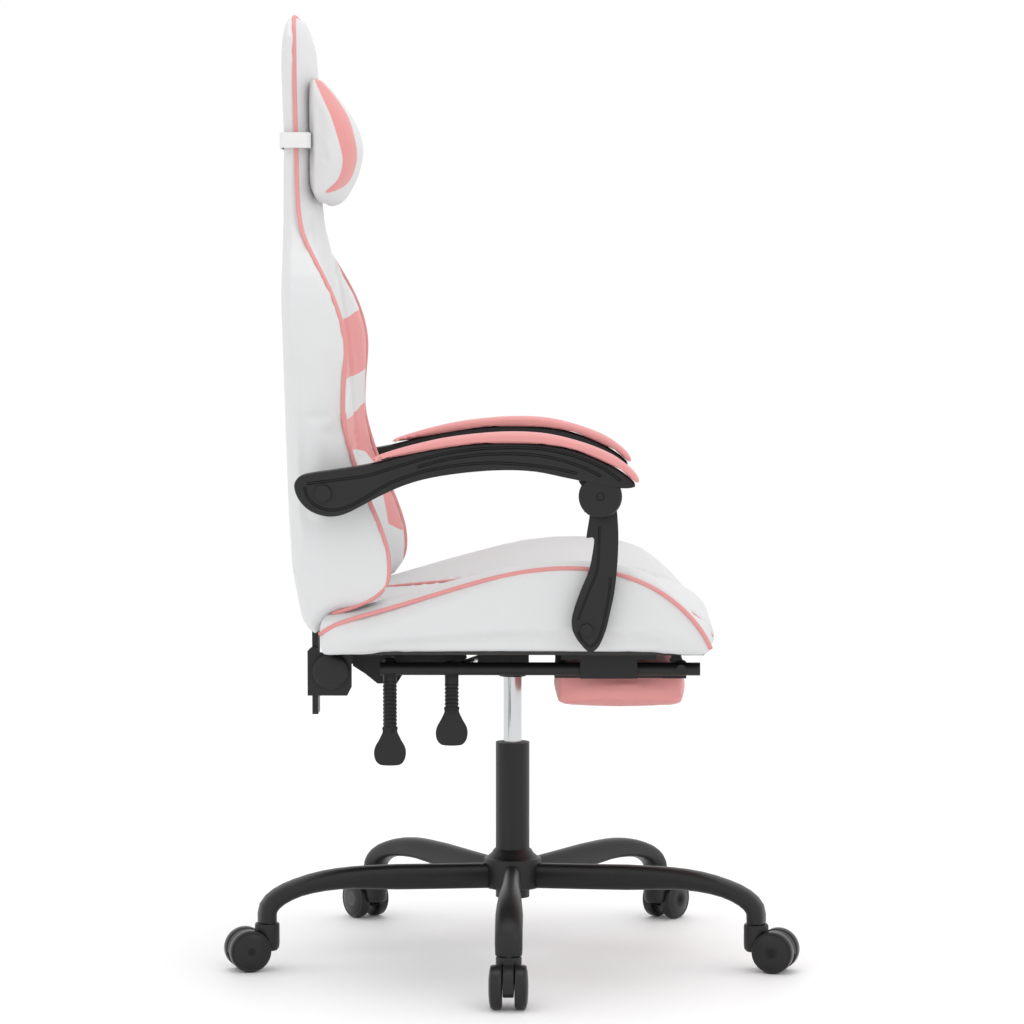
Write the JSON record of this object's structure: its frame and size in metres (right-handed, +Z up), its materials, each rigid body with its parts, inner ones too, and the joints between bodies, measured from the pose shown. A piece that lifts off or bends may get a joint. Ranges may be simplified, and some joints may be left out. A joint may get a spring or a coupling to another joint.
{
  "type": "gaming chair",
  "caption": "Gaming chair with winged reclining back, linked armrests, gas-lift seat, slide-out footrest and a star base on twin-wheel casters.",
  "frame": {"origin": "on the floor, on the axis of the gas lift", "axes": "+Z up, the sitter faces -Y, +X is the sitter's left"},
  "size_m": [0.7628, 0.802, 1.331],
  "materials": {
    "upholstery_white": "white faux leather, fine grain, satin",
    "upholstery_pink": "pink faux leather, fine grain, satin",
    "moulded_black": "satin black moulded plastic",
    "wheel_black": "semi-gloss black nylon",
    "steel_black": "black powder coat, fine texture",
    "steel_bright": "bright drawn steel",
    "fixings": "zinc-plated fixings",
    "bushing_plastic": "acetal bushing",
    "plywood": "poplar plywood",
    "elastic_white": "woven white elastic"
  },
  "bodies": {
    "base": {"star_base": "steel_black", "caster_sleeves": "fixings", "column_tube": "steel_black", "column_bushing": "bushing_plastic", "retaining_clip": "fixings", "thrust_bearing": "fixings"},
    "spindle": {"piston_rod": "steel_bright"},
    "seat": {"gas_cylinder": "steel_bright", "mechanism_tray": "steel_black", "mechanism_bolts": "fixings", "seat_board": "plywood", "seat_cushion": "upholstery_white", "recline_brackets": "steel_black", "hinge_pins": "fixings", "hinge_covers": "moulded_black", "recline_spring": "fixings", "leg_mount_brackets": "steel_black", "leg_bolts": "fixings", "footrest_saddles": "moulded_black"},
    "release_pin": {"release_pin": "fixings"},
    "height_lever": {"height_lever_rod": "steel_bright", "height_lever_grip": "moulded_black"},
    "recline_lever": {"recline_lever_rod": "steel_bright", "recline_lever_grip": "moulded_black"},
    "back": {"back_frame": "steel_black", "back_uprights": "steel_black", "back_cushion": "upholstery_white", "back_wings": "upholstery_white", "back_rear_panel": "upholstery_white", "arm_bolts": "fixings"},
    "head_pillow": {"head_pillow": "upholstery_white", "pillow_strap": "elastic_white"},
    "leg_right": {"armrest_leg_right": "moulded_black", "elbow_pivot_right": "moulded_black"},
    "leg_left": {"armrest_leg_left": "moulded_black", "elbow_pivot_left": "moulded_black"},
    "armrest_right": {"armrest_right": "moulded_black", "armrest_pad_right": "upholstery_pink"},
    "armrest_left": {"armrest_left": "moulded_black", "armrest_pad_left": "upholstery_pink"},
    "footrest_slide": {"footrest_rails": "steel_black"},
    "footrest_pad": {"footrest_board": "plywood", "footrest_cushion": "upholstery_pink", "footrest_hinges": "steel_black", "footrest_screws": "fixings"},
    "caster_1": {"caster_housing_1": "moulded_black", "caster_pins_1": "fixings"},
    "wheels_1": {"caster_wheels_1": "wheel_black"},
    "caster_2": {"caster_housing_2": "moulded_black", "caster_pins_2": "fixings"},
    "wheels_2": {"caster_wheels_2": "wheel_black"},
    "caster_3": {"caster_housing_3": "moulded_black", "caster_pins_3": "fixings"},
    "wheels_3": {"caster_wheels_3": "wheel_black"},
    "caster_4": {"caster_housing_4": "moulded_black", "caster_pins_4": "fixings"},
    "wheels_4": {"caster_wheels_4": "wheel_black"},
    "caster_5": {"caster_housing_5": "moulded_black", "caster_pins_5": "fixings"},
    "wheels_5": {"caster_wheels_5": "wheel_black"}
  },
  "joints": [
    {"name": "swivel", "type": "hinge", "parent": "base", "child": "spindle", "pos_m": [0, 0, 0.1], "axis": [0, 0, 1], "continuous": true},
    {"name": "seat_height", "type": "slide", "parent": "spindle", "child": "seat", "axis": [0, 0, 1], "range_m": [-0.08, 0]},
    {"name": "back_recline", "type": "hinge", "parent": "seat", "child": "back", "pos_m": [0, 0.244, 0.428], "axis": [-1, 0, 0], "range_deg": [0, 30]},
    {"name": "footrest_extend", "type": "slide", "parent": "seat", "child": "footrest_slide", "axis": [0, -1, 0], "range_m": [0, 0.26]},
    {"name": "footrest_turn", "type": "hinge", "parent": "footrest_slide", "child": "footrest_pad", "pos_m": [0, -0.233, 0.427], "axis": [-1, 0, 0], "range_deg": [0, 180]},
    {"name": "height_lever_lift", "type": "hinge", "parent": "seat", "child": "height_lever", "pos_m": [-0.015, 0.0108, 0.439], "axis": [0.4948, 0.869, 0], "range_deg": [0, 5], "stiffness_Nm_per_rad": 6, "springref_deg": -11.46},
    {"name": "release_pin_press", "type": "slide", "parent": "seat", "child": "release_pin", "axis": [0, 0, -1], "range_m": [0, 0.0018]},
    {"name": "recline_lever_lift", "type": "hinge", "parent": "seat", "child": "recline_lever", "pos_m": [-0.095, 0.167, 0.431], "axis": [0, 1, 0], "range_deg": [0, 8], "stiffness_Nm_per_rad": 4, "springref_deg": -11.46},
    {"name": "pillow_adjust", "type": "slide", "parent": "back", "child": "head_pillow", "axis": [0, 0, 1], "range_m": [-0.03, 0.06]},
    {"name": "leg_right_swing", "type": "hinge", "parent": "seat", "child": "leg_right", "pos_m": [0, -0.103, 0.491], "axis": [-1, 0, 0], "range_deg": [0, 41.5]},
    {"name": "armrest_right_tilt", "type": "hinge", "parent": "leg_right", "child": "armrest_right", "pos_m": [0, -0.121, 0.671], "axis": [-1, 0, 0], "range_deg": [-40.8, 0]},
    {"name": "leg_left_swing", "type": "hinge", "parent": "seat", "child": "leg_left", "pos_m": [0, -0.103, 0.491], "axis": [-1, 0, 0], "range_deg": [0, 41.5]},
    {"name": "armrest_left_tilt", "type": "hinge", "parent": "leg_left", "child": "armrest_left", "pos_m": [0, -0.121, 0.671], "axis": [-1, 0, 0], "range_deg": [-40.8, 0]},
    {"name": "caster_1_swivel", "type": "hinge", "parent": "base", "child": "caster_1", "pos_m": [-0.358, 0, 0.066], "axis": [0, 0, 1], "continuous": true},
    {"name": "wheels_1_roll", "type": "hinge", "parent": "caster_1", "child": "wheels_1", "pos_m": [-0.386, 0, 0.029], "axis": [0, -1, 0], "continuous": true},
    {"name": "caster_2_swivel", "type": "hinge", "parent": "base", "child": "caster_2", "pos_m": [-0.11063, -0.34048, 0.066], "axis": [0, 0, 1], "continuous": true},
    {"name": "wheels_2_roll", "type": "hinge", "parent": "caster_2", "child": "wheels_2", "pos_m": [-0.11928, -0.36711, 0.029], "axis": [0.9511, -0.309, 0], "continuous": true},
    {"name": "caster_3_swivel", "type": "hinge", "parent": "base", "child": "caster_3", "pos_m": [0.28963, -0.21043, 0.066], "axis": [0, 0, 1], "continuous": true},
    {"name": "wheels_3_roll", "type": "hinge", "parent": "caster_3", "child": "wheels_3", "pos_m": [0.31228, -0.22689, 0.029], "axis": [0.5878, 0.809, 0], "continuous": true},
    {"name": "caster_4_swivel", "type": "hinge", "parent": "base", "child": "caster_4", "pos_m": [0.28963, 0.21043, 0.066], "axis": [0, 0, 1], "continuous": true},
    {"name": "wheels_4_roll", "type": "hinge", "parent": "caster_4", "child": "wheels_4", "pos_m": [0.31228, 0.22689, 0.029], "axis": [-0.5878, 0.809, 0], "continuous": true},
    {"name": "caster_5_swivel", "type": "hinge", "parent": "base", "child": "caster_5", "pos_m": [-0.11063, 0.34048, 0.066], "axis": [0, 0, 1], "continuous": true},
    {"name": "wheels_5_roll", "type": "hinge", "parent": "caster_5", "child": "wheels_5", "pos_m": [-0.11928, 0.36711, 0.029], "axis": [-0.9511, -0.309, 0], "continuous": true}
  ],
  "couplings": [
    {"joint": "release_pin_press", "follows": "height_lever_lift", "m_per_rad": 0.02},
    {"joint": "footrest_turn", "follows": "footrest_extend", "rad_per_m": 12.08},
    {"joint": "leg_right_swing", "follows": "back_recline", "ratio": 1.3602},
    {"joint": "armrest_right_tilt", "follows": "back_recline", "ratio": -1.3346},
    {"joint": "leg_left_swing", "follows": "back_recline", "ratio": 1.3602},
    {"joint": "armrest_left_tilt", "follows": "back_recline", "ratio": -1.3346}
  ]
}
